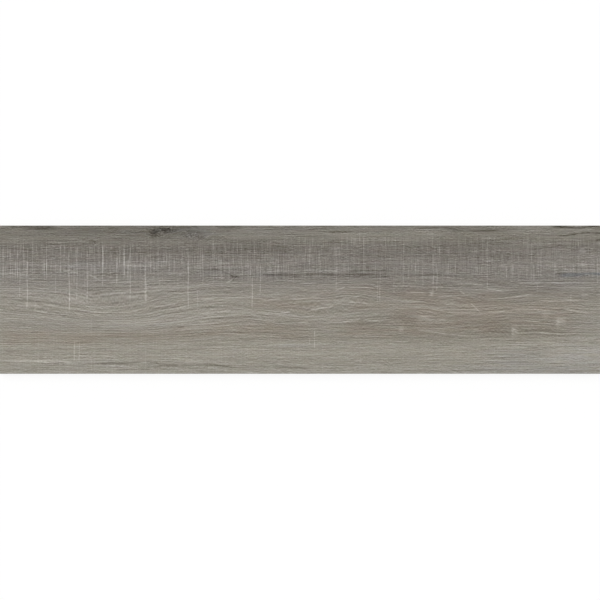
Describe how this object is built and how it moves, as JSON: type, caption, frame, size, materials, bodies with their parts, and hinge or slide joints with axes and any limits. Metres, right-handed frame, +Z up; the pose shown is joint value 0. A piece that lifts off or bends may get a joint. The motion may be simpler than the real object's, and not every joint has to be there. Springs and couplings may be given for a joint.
{
  "type": "wood look porcelain plank tile",
  "caption": "Long flat porcelain floor tile with a matte grey-brown wood grain face, ground edges and a keyed waffle back that grips its adhesive bed.",
  "frame": {"origin": "middle of the back, on the plane of the key ribs that the tile rests on", "axes": "+X along the plank, +Y across it, +Z up through the printed face"},
  "size_m": [0.6, 0.148, 0.009],
  "materials": {
    "wood_print_porcelain": "matte"
  },
  "bodies": {
    "root": {"plank_tile": "wood_print_porcelain"}
  },
  "joints": []
}
